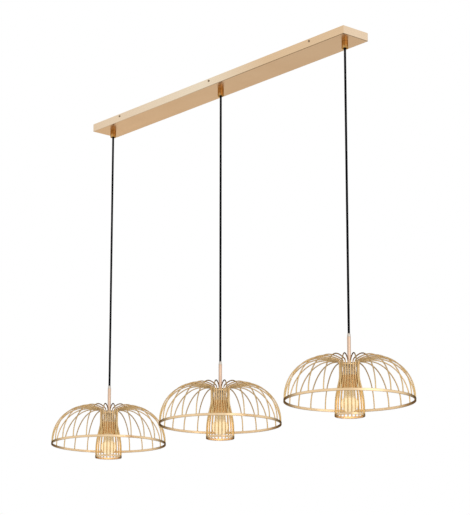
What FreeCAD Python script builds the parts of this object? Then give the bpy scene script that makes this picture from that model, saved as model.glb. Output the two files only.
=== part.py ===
import FreeCAD, Part
import math
import os

from FreeCAD import Vector

# A linear pendant light: a long ceiling canopy with three cords, each carrying a wire shade.
# The frame's origin is the centre of the canopy on the ceiling plane, X runs along the canopy
# and Z points up. All lengths are in millimetres and all angles in degrees.

# Layout
pendant_spacing = 527.0
hang_length = 1000.0  # from the canopy's underside to the middle of a rim band
swing_angle = 20.0  # how far a pendant swings across the canopy
shade_turns = {"left": -29.3, "middle": -32.8, "right": -36.9}  # each shade's turn on its cord
pendant_places = {"left": -pendant_spacing, "middle": 0.0, "right": pendant_spacing}

# Clearances
ball_clearance = 0.05  # round each ball end of a cord
hole_clearance = 0.15  # radial, round screws and threaded shanks
rest_gap = 0.3  # between a part that moves and its seat
cut_overrun = 1.0

# Canopy tray
canopy_length = 1140.0
canopy_width = 94.0
canopy_height = 24.0
canopy_wall = 1.2
canopy_edge_r = 0.8

# Mounting bracket
strap_width = 50.0
strap_thickness = 1.5
strap_end_gap = 20.0
ear_width = 30.0
ear_drop = 12.0
ceiling_hole_d = 5.5
ceiling_hole_spacing_x = 700.0
ceiling_hole_spacing_y = 30.0

# Side screws of the canopy
side_screw_spacing = 433.0
side_screw_depth = 7.0  # from the ceiling to the screw's axis
side_screw_d = 4.0
side_screw_length = 8.0
side_screw_head_d = 6.4
side_screw_head_height = 1.8

# Cords
cord_d = 6.0
upper_cord_length = 40.0
pivot_rise = 2.0  # from the grip's mouth up to where its cord bends

# Cord grips with their collets, set screws and lock nuts
grip_d = 18.0
grip_length = 20.0
grip_edge_r = 0.8
grip_thread_d = 10.0
grip_thread_proud = 1.0  # above the lock nut
grip_bore_d = 6.6
collet_d = 11.0
collet_length = 14.0
flare_spare_angle = 5.0
set_screw_d = 3.0
set_screw_inset = 0.4
set_screw_rise = 8.0  # from the grip's mouth to the screw's axis
nut_across = 14.0
nut_thickness = 3.5

# Cord stretches and leads inside the canopy
inner_cord_depth = 9.3  # from the ceiling to the cord's axis
inner_bend_r = 8.5
inner_side_step = 14.0  # left and right cords, beside the middle grip's nut
inner_step_run = 120.0  # run in which the outer cords reach their side step
middle_side_step = 4.0
middle_step_run = 36.0
inner_step_r = 30.0
lead_d = 2.2
lead_bend_r = 3.5
lead_gap = 0.4
sheath_strip = 16.0  # from the end of a cord's sheath to its first pole

# Terminal strip
strip_x = 94.0
strip_y = 15.0
strip_width = 18.0
strip_height = 14.0
pole_count = 6
pole_pitch = 8.0
strip_wall = 1.0
terminal_screw_d = 3.2
terminal_screw_length = 5.0
terminal_screw_inset = 5.0  # from the strip's face to a row of screws
terminal_well_d = 4.2
terminal_well_depth = 3.0

# Supply grommet and earth screw
supply_x = 40.0
supply_y = 14.0
grommet_bore_d = 8.0
grommet_neck_d = 12.0
grommet_flange_d = 16.0
grommet_flange_height = 2.0
earth_x = 150.0
earth_y = 14.0
earth_screw_d = 4.0
earth_head_d = 7.6
earth_head_height = 2.6
earth_washer_d = 10.0
earth_washer_thickness = 0.8

# Stem, with its tip. Heights on a shade are counted from the middle of its rim band
stem_top = 180.0
stem_tip_height = 9.0
stem_tip_top_d = 7.6
stem_tip_bore_d = 4.0
stem_tip_plug = 6.0
stem_d = 9.6
stem_wall = 1.4
stem_end = 80.0

# Shade wires and bands
rib_count = 24
rib_d = 3.4
rim_d = 350.0
rim_height = 7.0
rim_thickness = 3.0
shoulder_angle = 45.0  # where the two arcs between rim and crown meet
crown_height = 112.2
crown_r = 73.5
lip_angle = 15.0  # how far a rib leans down before it bends into the neck
neck_bend_r = 9.0
neck_r = 26.0
neck_low = 74.0
bell_r = 38.9
bell_shoulder = 4.0
bell_end = -37.0
bell_ring_height = 6.0
bell_ring_thickness = 3.0

# Neck plate
plate_top = 96.0
plate_thickness = 3.0
plate_lip = 0.6  # how far the plate's edge reaches in between the ribs

# Lampholder
holder_cap_end = 66.0
holder_cap_top_r = 9.0
holder_cap_r = 19.5
holder_cap_wall = 2.0
holder_shell_r = 20.0
holder_shell_wall = 2.2
holder_shell_end = 30.0
insert_thickness = 8.0
screw_shell_r = 13.9
screw_shell_wall = 0.5
screw_shell_length = 22.0
contact_r = 3.5
contact_height = 2.5

# Lamp
lamp_pip_r = 4.5
lamp_pip_height = 1.5
lamp_cap_r = 13.2
lamp_cap_end = 33.0
lamp_neck_r = 13.8
lamp_fillet_r = 4.0  # between the neck and the ball
lamp_ball_r = 22.5
lamp_ball_middle = -9.0
lamp_glass_wall = 1.0

# Heights that follow from the sizes above
canopy_low = -canopy_height
canopy_floor = canopy_low + canopy_wall
grip_mouth = canopy_low - grip_length
grip_top = canopy_floor + nut_thickness + grip_thread_proud
upper_pivot = grip_mouth + pivot_rise
lower_pivot = upper_pivot - upper_cord_length
rim_middle = canopy_low - hang_length
cord_r = cord_d / 2
rib_r = rib_d / 2
rim_r = rim_d / 2 - rim_thickness / 2
rim_top = rim_height / 2
lip_lean = math.radians(lip_angle)
lip_r = neck_r + neck_bend_r * (1 - math.sin(lip_lean))
crown_arc_r = (crown_r - lip_r) / math.sin(lip_lean)
lip_height = crown_height - crown_arc_r * (1 - math.cos(lip_lean))
neck_top = lip_height - neck_bend_r * math.cos(lip_lean)

# Plain numbers of the constructions
hexagon_sides = 6
parallel_limit = 1e-9  # share, below which two directions count as parallel


def cylinder(r, low, high, x=0.0, y=0.0):
    """Upright cylinder between two heights."""
    return Part.makeCylinder(r, high - low, Vector(x, y, low))


def pipe(r_outer, r_inner, low, high, x=0.0, y=0.0):
    """Upright pipe between two heights."""
    bore = cylinder(r_inner, low - cut_overrun, high + cut_overrun, x, y)
    return cylinder(r_outer, low, high, x, y).cut(bore)


def block(length, width, low, high, x=0.0, y=0.0):
    """Upright block centred on x and y."""
    return Part.makeBox(length, width, high - low, Vector(x - length / 2, y - width / 2, low))


def sideways(r, length, x, y, z):
    """Cylinder that starts at a point and runs out along Y, backwards where y is negative."""
    return Part.makeCylinder(r, length, Vector(x, y, z), Vector(0, math.copysign(1, y), 0))


def unit(vector):
    """The vector at length 1."""
    return Vector(vector).normalize()


def line(start, end):
    """Straight edge."""
    return Part.LineSegment(start, end).toShape()


def tangent_arc(start, tangent, end):
    """Arc that leaves start along tangent and reaches end."""
    chord = end - start
    aside = tangent - unit(chord) * tangent.dot(unit(chord))
    bulge = math.tan(tangent.getAngle(chord) / 2) * chord.Length / 2
    return Part.Arc(start, (start + end) * 0.5 + unit(aside) * bulge, end).toShape()


def arc_pair(start, start_tangent, end, end_tangent):
    """Two arcs that leave start and reach end along the given tangents and meet smoothly."""
    chord = end - start
    both = start_tangent + end_tangent
    turn = 2 * (1 - start_tangent.dot(end_tangent))
    along = chord.dot(both)
    reach = 0.0
    if turn > parallel_limit:
        reach = (math.sqrt(along**2 + turn * chord.dot(chord)) - along) / turn
    middle = (start + end + (start_tangent - end_tangent) * reach) * 0.5
    return [tangent_arc(start, start_tangent, middle), tangent_arc(end, end_tangent * -1, middle)]


def ordered(edges):
    """The edges sorted head to tail as one path."""
    return Part.Wire(Part.__sortEdges__(edges))


def wire_along(edges, diameter, start, direction):
    """Round wire along a smooth path that leaves start in a direction."""
    section = Part.Wire(Part.Circle(start, direction, diameter / 2).toShape())
    return ordered(edges).makePipeShell([section], True, False)


def rounded_route(points, radii):
    """Edges through the points, with an arc of its own radius at each inner point."""
    edges = []
    last = points[0]
    for before, corner, after, r in zip(points, points[1:], points[2:], radii):
        way_in = unit(corner - before)
        way_out = unit(after - corner)
        step = r * math.tan(way_in.getAngle(way_out) / 2)
        start = corner - way_in * step
        end = corner + way_out * step
        edges += [line(last, start), tangent_arc(start, way_in, end)]
        last = end
    return edges + [line(last, points[-1])]


def cord_along(name, points, radii, diameter):
    """Round cord along a rounded route, with its radii, length and volume printed."""
    edges = rounded_route(points, radii)
    solid = wire_along(edges, diameter, points[0], points[1] - points[0])
    length = sum(edge.Length for edge in edges)
    drawn = math.pi * diameter**2 / 4 * length
    print(f"{name}: length {length:.1f}, radii {radii}, volume {solid.Volume:.1f} of {drawn:.1f}")
    return solid


def revolved(edges):
    """Solid of revolution about Z of a closed outline in the XZ plane."""
    face = Part.Face(ordered(edges))
    return face.revolve(Vector(0, 0, 0), Vector(0, 0, 1), 360)


def hexagon(across, low, high):
    """Upright hexagonal prism, by its width across flats."""
    corner = across / 2 / math.cos(math.pi / hexagon_sides)
    around = [2 * math.pi * k / hexagon_sides for k in range(hexagon_sides + 1)]
    points = [Vector(corner * math.cos(a), corner * math.sin(a), low) for a in around]
    return Part.Face(Part.makePolygon(points)).extrude(Vector(0, 0, high - low))


def lock_nut(low, bore_r):
    """Hexagon nut with a plain bore."""
    bore = cylinder(bore_r, low - cut_overrun, low + nut_thickness + cut_overrun)
    return hexagon(nut_across, low, low + nut_thickness).cut(bore)


def moved(shape, x=0.0, y=0.0, z=0.0, turn=0.0):
    """Copy of a shape, turned about Z and then shifted."""
    copy = shape.copy()
    copy.rotate(Vector(0, 0, 0), Vector(0, 0, 1), turn)
    copy.translate(Vector(x, y, z))
    return copy


def repeated(shape, places):
    """Group of copies of a shape along the canopy."""
    return Part.makeCompound([moved(shape, x) for x in places])


def save(node, shape):
    """Writes one node as a STEP file, after testing its solids."""
    if not shape.isValid() or not shape.Solids:
        raise ValueError(f"{node} isn't a valid solid")
    shape.exportStep(os.path.join("parts", f"{node}.step"))
    print(f"{node}: {len(shape.Solids)} solids, {shape.Volume:.0f} mm3")


# Canopy


def side_screw_places():
    """Where the side screws stand along the canopy."""
    return [-side_screw_spacing, 0.0, side_screw_spacing]


def canopy_shell():
    """Tray that is open at the ceiling, with holes for the grips and the side screws."""
    outer = block(canopy_length, canopy_width, canopy_low, 0)
    seen = [e for e in outer.Edges if e.BoundBox.ZMin < -canopy_edge_r]
    outer = outer.makeFillet(canopy_edge_r, seen)
    length = canopy_length - 2 * canopy_wall
    width = canopy_width - 2 * canopy_wall
    shell = outer.cut(block(length, width, canopy_floor, cut_overrun))
    for x in pendant_places.values():
        hole_r = grip_thread_d / 2 + hole_clearance
        shell = shell.cut(cylinder(hole_r, canopy_low - cut_overrun, canopy_floor + cut_overrun, x))
    for x in side_screw_places():
        hole_r = side_screw_d / 2 + hole_clearance
        start = canopy_width / 2 + cut_overrun
        across = Part.makeCylinder(
            hole_r, 2 * start, Vector(x, -start, -side_screw_depth), Vector(0, 1, 0)
        )
        shell = shell.cut(across)
    return shell


def ceiling_bracket():
    """Flat strap on the ceiling, with folded ears that meet the canopy's long sides."""
    inside = canopy_width / 2 - canopy_wall
    length = canopy_length - 2 * canopy_wall - 2 * strap_end_gap
    bracket = block(length, strap_width, -strap_thickness, 0)
    for x in side_screw_places():
        bracket = bracket.fuse(block(ear_width, 2 * inside, -strap_thickness, 0, x))
        for side in (-1, 1):
            y = side * (inside - strap_thickness / 2)
            ear = block(ear_width, strap_thickness, -ear_drop, 0, x, y)
            thread_r = side_screw_d / 2 + ball_clearance
            thread = sideways(thread_r, inside, x, side * inside / 2, -side_screw_depth)
            bracket = bracket.fuse(ear).cut(thread)
    holes = [
        (x * ceiling_hole_spacing_x / 2, y * ceiling_hole_spacing_y / 2, ceiling_hole_d / 2)
        for x in (-1, 1)
        for y in (-1, 1)
    ]
    holes.append((supply_x, supply_y, grommet_neck_d / 2))
    holes.append((earth_x, earth_y, earth_screw_d / 2 + ball_clearance))
    for x, y, r in holes:
        bracket = bracket.cut(cylinder(r, -strap_thickness - cut_overrun, cut_overrun, x, y))
    return bracket.removeSplitter()


def side_screws():
    """Screws through the canopy's long sides into the bracket's ears."""
    height = side_screw_head_height
    shank_length = side_screw_length - height
    screws = []
    for x in side_screw_places():
        for side in (-1, 1):
            face = side * canopy_width / 2
            start = face - side * shank_length
            shank = sideways(side_screw_d / 2, shank_length, x, start, -side_screw_depth)
            head = sideways(side_screw_head_d / 2, height, x, face, -side_screw_depth)
            outer_edge = max(head.Edges, key=lambda edge: abs(edge.CenterOfMass.y))
            head = head.makeFillet(height / 2, [outer_edge])
            screws.append(head.fuse(shank))
    return Part.makeCompound(screws)


# Cord grips


def cord_grip():
    """Grip below the canopy, with a threaded shank through its floor."""
    body = cylinder(grip_d / 2, grip_mouth, canopy_low)
    low_edge = [e for e in body.Edges if e.BoundBox.ZMax < canopy_low - grip_length / 2]
    body = body.makeFillet(grip_edge_r, low_edge)
    grip = body.fuse(cylinder(grip_thread_d / 2, canopy_low, grip_top))
    grip = grip.cut(cylinder(grip_bore_d / 2, grip_mouth, grip_top + cut_overrun))
    seat_low = grip_mouth - cut_overrun
    grip = grip.cut(cylinder(collet_d / 2, seat_low, grip_mouth + collet_length))
    hole_r = set_screw_d / 2 + ball_clearance
    hole = sideways(hole_r, grip_d / 2 + cut_overrun, 0, 0, grip_mouth + set_screw_rise)
    return grip.cut(hole).removeSplitter()


def grip_collet():
    """Nylon sleeve that holds the cord, with a flared mouth in which the cord can lean."""
    collet = cylinder(collet_d / 2, grip_mouth, grip_mouth + collet_length)
    bore_r = cord_r + ball_clearance
    collet = collet.cut(cylinder(bore_r, grip_mouth, grip_mouth + collet_length + cut_overrun))
    opening = math.tan(math.radians(swing_angle + flare_spare_angle))
    low = grip_mouth - cut_overrun
    at_pivot = cord_r / math.cos(math.radians(swing_angle)) + ball_clearance
    high = upper_pivot + (at_pivot - cord_r) / opening
    wide_r = at_pivot + (upper_pivot - low) * opening
    flare = Part.makeCone(wide_r, cord_r, high - low, Vector(0, 0, low))
    return collet.cut(flare)


def grip_screw():
    """Set screw that presses on the collet from the grip's side."""
    start = collet_d / 2
    length = grip_d / 2 - set_screw_inset - start
    return sideways(set_screw_d / 2, length, 0, start, grip_mouth + set_screw_rise)


# Inside of the canopy


def inner_cord_start():
    """Height at which a cord's inner stretch ends above its ball joint."""
    return upper_pivot + cord_r + rest_gap


def pole_x(pole):
    """Place of a pole along the terminal strip."""
    return strip_x + (pole - (pole_count - 1) / 2) * pole_pitch


def sheath_ends():
    """Where each cord's sheath ends, and the poles of its two leads."""
    return {
        "middle": (pole_x(0) - sheath_strip, -middle_side_step, (0, 1)),
        "left": (pole_x(2) - sheath_strip, -inner_side_step, (2, 3)),
        "right": (pole_x(5) + sheath_strip, -inner_side_step, (5, 4)),
    }


def inner_cords():
    """The cords from their grips to the terminal strip."""
    ends = sheath_ends()
    steps = {
        "left": -inner_step_run,
        "middle": middle_step_run,
        "right": ends["right"][0] + inner_step_run,
    }
    radii = [inner_bend_r, inner_step_r]
    cords = []
    for name, (end_x, end_y, _) in ends.items():
        x = pendant_places[name]
        points = [
            Vector(x, 0, inner_cord_start()),
            Vector(x, 0, -inner_cord_depth),
            Vector(steps[name], end_y, -inner_cord_depth),
            Vector(end_x, end_y, -inner_cord_depth),
        ]
        cords.append(cord_along(f"inner cord {name}", points, radii, cord_d))
    return Part.makeCompound(cords)


def inner_leads():
    """Two leads from each cord's sheath, each turning into its pole of the strip."""
    leads = []
    face = strip_y - strip_width / 2
    for name, (end_x, end_y, poles) in sheath_ends().items():
        for pole, side in zip(poles, (1, -1)):
            z = -inner_cord_depth + side * (lead_d + lead_gap) / 2
            points = [
                Vector(end_x, end_y, z),
                Vector(pole_x(pole), end_y, z),
                Vector(pole_x(pole), face, z),
            ]
            leads.append(cord_along(f"lead {name} {pole}", points, [lead_bend_r], lead_d))
    return Part.makeCompound(leads)


def terminal_strip():
    """Strip of poles under the strap, with a well for each clamping screw."""
    low = -strap_thickness - strip_height
    length = pole_count * pole_pitch + 2 * strip_wall
    strip = block(length, strip_width, low, -strap_thickness, strip_x, strip_y)
    well_end = low + terminal_well_depth
    screw_end = well_end + terminal_screw_length
    for x, y in terminal_screw_places():
        strip = strip.cut(cylinder(terminal_well_d / 2, low - cut_overrun, well_end, x, y))
        strip = strip.cut(cylinder(terminal_screw_d / 2, low, screw_end, x, y))
    across = strip_width + cut_overrun
    for pole in range(pole_count - 1):
        x = pole_x(pole) + pole_pitch / 2
        strip = strip.cut(block(strip_wall, across, low - cut_overrun, low + strip_wall, x, strip_y))
    return strip


def terminal_screw_places():
    """Two rows of screws, one on each side of the strip."""
    row = strip_width / 2 - terminal_screw_inset
    return [(pole_x(pole), strip_y + side * row) for pole in range(pole_count) for side in (-1, 1)]


def terminal_screws():
    """Brass screws at the bottom of the strip's wells."""
    low = -strap_thickness - strip_height + terminal_well_depth
    screws = [
        cylinder(terminal_screw_d / 2, low, low + terminal_screw_length, x, y)
        for x, y in terminal_screw_places()
    ]
    return Part.makeCompound(screws)


def supply_grommet():
    """Rubber grommet in the bracket's hole for the supply cable."""
    low = -strap_thickness - grommet_flange_height
    flange = cylinder(grommet_flange_d / 2, low, -strap_thickness, supply_x, supply_y)
    neck = cylinder(grommet_neck_d / 2, -strap_thickness, 0, supply_x, supply_y)
    bore = cylinder(grommet_bore_d / 2, low - cut_overrun, cut_overrun, supply_x, supply_y)
    return flange.fuse(neck).cut(bore).removeSplitter()


def earth_screw():
    """Screw with its washer, for the supply's earth lead."""
    washer_low = -strap_thickness - earth_washer_thickness
    head_low = washer_low - earth_head_height
    washer = pipe(
        earth_washer_d / 2,
        earth_screw_d / 2 + hole_clearance,
        washer_low,
        -strap_thickness,
        earth_x,
        earth_y,
    )
    head = cylinder(earth_head_d / 2, head_low, washer_low, earth_x, earth_y)
    shank = cylinder(earth_screw_d / 2, washer_low, 0, earth_x, earth_y)
    return Part.makeCompound([head.fuse(shank), washer])


# Cords below the canopy


def cord_upper():
    """Short stretch below the grip, with a ball end above and a socket below."""
    cord = cylinder(cord_r, lower_pivot, upper_pivot)
    cord = cord.fuse(Part.makeSphere(cord_r, Vector(0, 0, upper_pivot)))
    return cord.cut(Part.makeSphere(cord_r + ball_clearance, Vector(0, 0, lower_pivot)))


def cord():
    """Long stretch from the lower ball end to the stem tip."""
    straight = cylinder(cord_r, rim_middle + stem_top, lower_pivot)
    return straight.fuse(Part.makeSphere(cord_r, Vector(0, 0, lower_pivot)))


# Shade. These pieces are drawn with the middle of the rim band at the origin


def stem_tip():
    """Tapered tip that plugs the stem and takes the cord."""
    base = stem_top - stem_tip_height
    taper = Part.makeCone(stem_d / 2, stem_tip_top_d / 2, stem_tip_height, Vector(0, 0, base))
    plug = cylinder(stem_d / 2 - stem_wall, base - stem_tip_plug, base)
    bore = cylinder(stem_tip_bore_d / 2, base - stem_tip_plug - cut_overrun, stem_top + cut_overrun)
    return taper.fuse(plug).cut(bore)


def stem():
    """Stem tube from its tip down into the lampholder's cap."""
    return pipe(stem_d / 2, stem_d / 2 - stem_wall, stem_end, stem_top - stem_tip_height)


def rib_path():
    """Edges of one rib, from the rim over the crown and down the neck to the bell's ring."""
    up = Vector(0, 0, 1)
    inward = Vector(-1, 0, 0)
    down = Vector(0, 0, -1)
    half_width = rim_r - crown_r
    half_height = crown_height - rim_top
    angle = math.radians(shoulder_angle)
    shoulder_r = crown_r + half_width * math.cos(angle)
    shoulder = Vector(shoulder_r, 0, rim_top + half_height * math.sin(angle))
    lean = unit(Vector(-half_width * math.sin(angle), 0, half_height * math.cos(angle)))
    rim = Vector(rim_r, 0, rim_top)
    crown = Vector(crown_r, 0, crown_height)
    lip = Vector(lip_r, 0, lip_height)
    lip_way = Vector(-math.cos(lip_lean), 0, -math.sin(lip_lean))
    neck = Vector(neck_r, 0, neck_top)
    edges = arc_pair(rim, up, shoulder, lean)
    edges += arc_pair(shoulder, lean, crown, inward)
    edges.append(tangent_arc(crown, inward, lip))
    edges.append(tangent_arc(lip, lip_way, neck))
    edges.append(line(neck, Vector(neck_r, 0, neck_low)))
    edges += arc_pair(Vector(neck_r, 0, neck_low), down, Vector(bell_r, 0, bell_shoulder), down)
    edges.append(line(Vector(bell_r, 0, bell_shoulder), Vector(bell_r, 0, bell_end)))
    return edges


def one_rib():
    """One bent wire, with its drawn volume printed for comparison."""
    edges = rib_path()
    rib = wire_along(edges, rib_d, Vector(rim_r, 0, rim_top), Vector(0, 0, 1))
    length = sum(edge.Length for edge in edges)
    print(f"rib: length {length:.1f}, volume {rib.Volume:.1f} of {math.pi * rib_r**2 * length:.1f}")
    return rib


def ribs(rib):
    """All the ribs of a shade."""
    return Part.makeCompound([moved(rib, turn=360 * k / rib_count) for k in range(rib_count)])


def neck_plate(all_ribs):
    """Plate that closes the neck, notched round the ribs."""
    low = plate_top - plate_thickness
    plate = pipe(neck_r - rib_r + plate_lip, stem_d / 2 + hole_clearance, low, plate_top)
    return plate.cut(all_ribs)


def rim_ring():
    """Flat band under the ribs' outer ends."""
    return pipe(rim_d / 2, rim_d / 2 - rim_thickness, -rim_height / 2, rim_top)


def bell_ring():
    """Band under the ribs' inner ends."""
    outer = bell_r + bell_ring_thickness / 2
    return pipe(outer, outer - bell_ring_thickness, bell_end - bell_ring_height, bell_end)


def stem_nut():
    """Nut that holds the stem under the neck plate."""
    return lock_nut(plate_top - plate_thickness - nut_thickness, stem_d / 2 + hole_clearance)


def cap_dome(side_r, top):
    """Solid dome over the lower edge of the lampholder's cap."""
    side = Vector(side_r, 0, holder_cap_end)
    brow = Vector(holder_cap_top_r, 0, top)
    above = Vector(0, 0, top)
    below = Vector(0, 0, holder_cap_end)
    dome = arc_pair(side, Vector(0, 0, 1), brow, Vector(-1, 0, 0))
    return revolved(dome + [line(brow, above), line(above, below), line(below, side)])


def holder_cap():
    """Cap of the lampholder, under the stem's nut."""
    top = plate_top - plate_thickness - nut_thickness
    dome = cap_dome(holder_cap_r, top)
    hollow = cap_dome(holder_cap_r - holder_cap_wall, top - holder_cap_wall)
    hole = cylinder(stem_d / 2 + hole_clearance, holder_cap_end, top + cut_overrun)
    return dome.cut(hollow).cut(hole)


def holder_shell():
    """Skirt of the lampholder."""
    inner = holder_shell_r - holder_shell_wall
    return pipe(holder_shell_r, inner, holder_shell_end, holder_cap_end)


def holder_insert():
    """Insert that carries the contacts, seated between the cap and the skirt."""
    return cylinder(
        holder_shell_r - holder_shell_wall - ball_clearance,
        holder_cap_end - insert_thickness,
        holder_cap_end,
    )


def holder_contacts():
    """Threaded screw shell and centre contact, under the insert."""
    top = holder_cap_end - insert_thickness
    shell = pipe(screw_shell_r, screw_shell_r - screw_shell_wall, top - screw_shell_length, top)
    contact = cylinder(contact_r, top - contact_height, top)
    return Part.makeCompound([shell, contact])


def lamp_cap():
    """Screw cap of the lamp with its centre pip."""
    pip_top = holder_cap_end - insert_thickness - contact_height - rest_gap
    cap_top = pip_top - lamp_pip_height
    pip = cylinder(lamp_pip_r, cap_top, pip_top)
    return cylinder(lamp_cap_r, lamp_cap_end, cap_top).fuse(pip)


def lamp_outline(shrink):
    """Side of the lamp's glass, from its top edge to the lowest point, drawn in by shrink."""
    down = Vector(0, 0, -1)
    ball_r = lamp_ball_r - shrink
    out = lamp_neck_r + lamp_fillet_r
    reach = lamp_ball_r + lamp_fillet_r
    rise = math.sqrt(reach**2 - out**2)
    top = Vector(lamp_neck_r - shrink, 0, lamp_cap_end)
    low = Vector(lamp_neck_r - shrink, 0, lamp_ball_middle + rise)
    joint = Vector(ball_r * out / reach, 0, lamp_ball_middle + ball_r * rise / reach)
    pole = Vector(0, 0, lamp_ball_middle - ball_r)
    edges = [line(top, low), tangent_arc(low, down, joint)]
    edges.append(tangent_arc(joint, unit(Vector(rise, 0, -out)), pole))
    return edges, top, pole


def lamp_glass():
    """Round glass under the lamp's cap."""
    outside, outer_top, outer_pole = lamp_outline(0.0)
    inside, inner_top, inner_pole = lamp_outline(lamp_glass_wall)
    edges = outside + [line(outer_pole, inner_pole)] + inside + [line(inner_top, outer_top)]
    return revolved(edges)


def build():
    """Makes every piece and writes it."""
    os.makedirs("parts", exist_ok=True)
    save("canopy_shell", canopy_shell())
    save("ceiling_bracket", ceiling_bracket())
    save("side_screws", side_screws())
    save("grip_collets", repeated(grip_collet(), pendant_places.values()))
    save("grip_nuts", repeated(lock_nut(canopy_floor, grip_thread_d / 2), pendant_places.values()))
    save("grip_screws", repeated(grip_screw(), pendant_places.values()))
    save("terminal_strip", terminal_strip())
    save("terminal_screws", terminal_screws())
    save("supply_grommet", supply_grommet())
    save("earth_screw", earth_screw())
    save("inner_cords", inner_cords())
    save("inner_leads", inner_leads())

    rib = one_rib()
    all_ribs = ribs(rib)
    above = {"cord_grip": cord_grip(), "cord_upper": cord_upper(), "cord": cord()}
    shade = {
        "stem_tip": stem_tip(),
        "stem": stem(),
        "stem_nut": stem_nut(),
        "neck_plate": neck_plate(all_ribs),
        "ribs": all_ribs,
        "rim_ring": rim_ring(),
        "bell_ring": bell_ring(),
        "holder_cap": holder_cap(),
        "holder_shell": holder_shell(),
        "holder_insert": holder_insert(),
        "holder_contacts": holder_contacts(),
        "lamp_cap": lamp_cap(),
        "lamp_glass": lamp_glass(),
    }
    for side, x in pendant_places.items():
        for node, shape in above.items():
            save(f"{node}_{side}", moved(shape, x))
        for node, shape in shade.items():
            save(f"{node}_{side}", moved(shape, x, 0, rim_middle, shade_turns[side]))


build()
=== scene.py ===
import math

import bpy
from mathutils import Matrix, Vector


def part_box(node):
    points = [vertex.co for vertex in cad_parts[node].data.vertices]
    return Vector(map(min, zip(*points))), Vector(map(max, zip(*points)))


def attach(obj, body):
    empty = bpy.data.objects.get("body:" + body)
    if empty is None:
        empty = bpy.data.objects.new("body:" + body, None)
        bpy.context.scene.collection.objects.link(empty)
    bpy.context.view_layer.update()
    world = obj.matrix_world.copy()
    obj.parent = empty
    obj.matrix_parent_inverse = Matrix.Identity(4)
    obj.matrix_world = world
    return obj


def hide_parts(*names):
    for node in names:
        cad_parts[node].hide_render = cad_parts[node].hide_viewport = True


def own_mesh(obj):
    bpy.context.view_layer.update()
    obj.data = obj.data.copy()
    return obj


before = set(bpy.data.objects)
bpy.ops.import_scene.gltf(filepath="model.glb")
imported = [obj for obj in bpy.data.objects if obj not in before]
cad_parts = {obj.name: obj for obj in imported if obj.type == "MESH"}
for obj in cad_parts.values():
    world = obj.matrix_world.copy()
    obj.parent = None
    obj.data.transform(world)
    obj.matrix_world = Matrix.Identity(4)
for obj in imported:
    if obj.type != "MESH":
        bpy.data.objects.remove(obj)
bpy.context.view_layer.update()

# A linear pendant light: a canopy on the ceiling with three cords, each carrying a wire shade.
# Lengths are in metres. Heights on a shade are counted from the middle of its rim band.

# Sizes that follow the solids
SIDES = ("left", "middle", "right")
RIM_RADIUS = 0.175
PENDANT_X = {side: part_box(f"rim_ring_{side}")[0].x + RIM_RADIUS for side in SIDES}
RIM_Z = (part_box("rim_ring_middle")[0].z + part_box("rim_ring_middle")[1].z) / 2
CANOPY_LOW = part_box("canopy_shell")[0].z
GRIP_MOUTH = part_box("cord_grip_middle")[0].z
GRIP_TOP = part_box("cord_grip_middle")[1].z
UPPER_PIVOT = GRIP_MOUTH + 0.002  # where a cord bends, just inside its grip
LOWER_PIVOT = UPPER_PIVOT - 0.040

# Sizes of the solids that their boxes don't give
SHADE_TURN = {"left": -29.3, "middle": -32.8, "right": -36.9}  # degrees, a gap faces the camera
CANOPY_HALF_LENGTH = 0.570
CANOPY_HALF_WIDTH = 0.047
STEM_TOP = 0.180
CORD_RADIUS = 0.003
BRAID_RADIUS = 0.0032  # hanging cords, where the loose braid stands proud of the cable
RIB_COUNT = 24
RIB_RADIUS = 0.0017

# Camera, fitted to the photograph's frame of 470 by 515 pixels
FRAME_HEIGHT_PX = 515
FOCAL_PX = 1837.0
CENTRE_SHIFT_PX = 50  # the optical axis lies this far below the frame's centre
CAMERA_PLACE = Vector((3.9458, -3.3514, -1.8317))
CAMERA_PITCH = math.radians(12.49)
CAMERA_YAW = math.radians(-49.19)

# Studio room
FLOOR_Z = -2.75
DIM_WALL_ANGLE = math.radians(139)  # from the canopy's length round to the dimmer wall


def make_camera():
    """Camera below the canopy, off its near right end, looking up a little."""
    lens = bpy.data.cameras.new("photo_camera")
    lens.lens = FOCAL_PX / FRAME_HEIGHT_PX * lens.sensor_width
    lens.shift_y = CENTRE_SHIFT_PX / FRAME_HEIGHT_PX
    lens.clip_end = 100
    camera = bpy.data.objects.new("photo_camera", lens)
    bpy.context.scene.collection.objects.link(camera)
    level = math.cos(CAMERA_PITCH)
    forward = Vector(
        (math.sin(CAMERA_YAW) * level, math.cos(CAMERA_YAW) * level, math.sin(CAMERA_PITCH))
    )
    camera.location = CAMERA_PLACE
    camera.rotation_euler = forward.to_track_quat("-Z", "Y").to_euler()
    bpy.context.scene.camera = camera


# Effects that several finishes share


def effect(name, inputs, outputs):
    """Empty node group with named inputs, given as (name, socket type, value), and outputs."""
    group = bpy.data.node_groups.new(name, "ShaderNodeTree")
    for label, kind, value in inputs:
        socket = group.interface.new_socket(name=label, in_out="INPUT", socket_type=kind)
        if value is not None:
            socket.default_value = value
    for label, kind in outputs:
        group.interface.new_socket(name=label, in_out="OUTPUT", socket_type=kind)
    return group, group.nodes.new("NodeGroupInput"), group.nodes.new("NodeGroupOutput")


def maths(tree, operation, first, second=None):
    """Math node on sockets or numbers. Returns its output."""
    node = tree.nodes.new("ShaderNodeMath")
    node.operation = operation
    for socket, value in zip(node.inputs, (first, second)):
        if isinstance(value, bpy.types.NodeSocket):
            tree.links.new(value, socket)
        elif value is not None:
            socket.default_value = value
    return node.outputs[0]


def product(tree, first, *others):
    """Sockets or numbers multiplied. Returns the output."""
    for other in others:
        first = maths(tree, "MULTIPLY", first, other)
    return first


def axes(tree, place):
    """Outputs X, Y and Z of a place or a direction."""
    node = tree.nodes.new("ShaderNodeSeparateXYZ")
    tree.links.new(place, node.inputs[0])
    return node.outputs


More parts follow.
